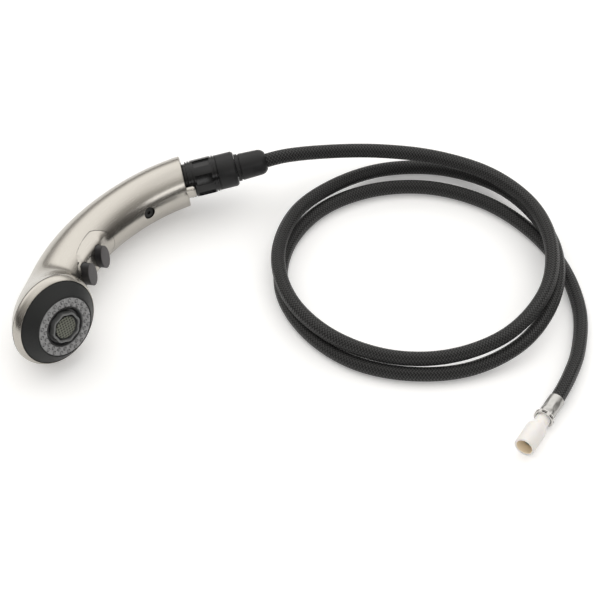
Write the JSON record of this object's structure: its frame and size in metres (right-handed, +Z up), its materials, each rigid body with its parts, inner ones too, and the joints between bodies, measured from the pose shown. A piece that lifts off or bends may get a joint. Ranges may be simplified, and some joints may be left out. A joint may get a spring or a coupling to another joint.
{
  "type": "pull-out spray wand",
  "caption": "Pull-out kitchen tap spray wand with push buttons, round spray face, docking collar and a looped braided hose ending in a quick connector.",
  "frame": {"origin": "on the surface that the wand lies on, under the middle of the wand's box, hose not counted", "axes": "+Z up; +Y from the spray head towards the docking collar; +X towards the side that the buttons and the hose loops are on"},
  "size_m": [0.3519, 0.3046, 0.0602],
  "materials": {
    "brushed_nickel": "brushed nickel plating",
    "button_plastic": "satin moulded",
    "white_acetal": "moulded",
    "black_rubber": "moulded rubber",
    "spring_steel": "drawn stainless wire",
    "black_plastic": "moulded",
    "collar_plastic": "gloss moulded",
    "nut_plastic": "satin moulded",
    "face_plastic": "matte moulded",
    "grey_rubber": "matte silicone",
    "aerator_grey": "satin moulded",
    "mesh_steel": "woven wire",
    "hose_braid": "braided nylon",
    "bright_steel": "polished stainless",
    "connector_grey": "moulded",
    "connector_white": "moulded acetal"
  },
  "bodies": {
    "wand": {"handle_shell": "brushed_nickel", "button_saddle": "brushed_nickel", "rim_band": "brushed_nickel", "spring_spray": "spring_steel", "spring_jet": "spring_steel", "valve_block": "black_plastic", "waterway_tube": "black_plastic", "fixing_screw": "spring_steel", "docking_collar": "collar_plastic", "collar_o_ring_rear": "black_rubber", "collar_o_ring_front": "black_rubber", "check_valve_seat": "white_acetal", "check_spring": "spring_steel", "hose_nut": "nut_plastic", "nut_washer": "black_rubber", "face_ring": "face_plastic", "nozzle_ring": "grey_rubber", "spray_plate": "black_plastic", "aerator_housing": "black_plastic", "aerator_washer": "black_rubber", "aerator_ring": "aerator_grey", "aerator_screen": "mesh_steel", "aerator_insert": "white_acetal", "diverter_body": "black_plastic", "face_gasket": "black_rubber", "outlet_tube": "black_plastic"},
    "spray_button": {"button_spray": "button_plastic", "plunger_spray": "white_acetal", "plunger_seal_spray": "black_rubber"},
    "jet_button": {"button_jet": "button_plastic", "plunger_jet": "white_acetal", "plunger_seal_jet": "black_rubber"},
    "check_valve": {"check_poppet": "black_plastic"},
    "hose_end": {"inlet_nipple": "white_acetal", "strain_relief": "nut_plastic", "hose": "hose_braid", "crimp_ferrule": "bright_steel", "retaining_clip": "connector_grey", "quick_connector": "connector_white", "connector_o_ring": "black_rubber"}
  },
  "joints": [
    {"name": "spray_press", "type": "slide", "parent": "wand", "child": "spray_button", "axis": [-0.9607, -0.1377, -0.2412], "range_m": [0, 0.0025], "stiffness_N_per_m": 400, "deforming": ["spring_spray"]},
    {"name": "jet_press", "type": "slide", "parent": "wand", "child": "jet_button", "axis": [-0.9607, -0.1377, -0.2412], "range_m": [0, 0.0025], "stiffness_N_per_m": 400, "deforming": ["spring_jet"]},
    {"name": "check_lift", "type": "slide", "parent": "wand", "child": "check_valve", "axis": [-0.7471, -0.6456, -0.1582], "range_m": [0, 0.003], "stiffness_N_per_m": 120, "deforming": ["check_spring"]},
    {"name": "hose_swivel", "type": "hinge", "parent": "wand", "child": "hose_end", "pos_m": [0.00007, 0.07212, 0.02257], "axis": [0.7471, 0.6456, 0.1582], "continuous": true}
  ]
}
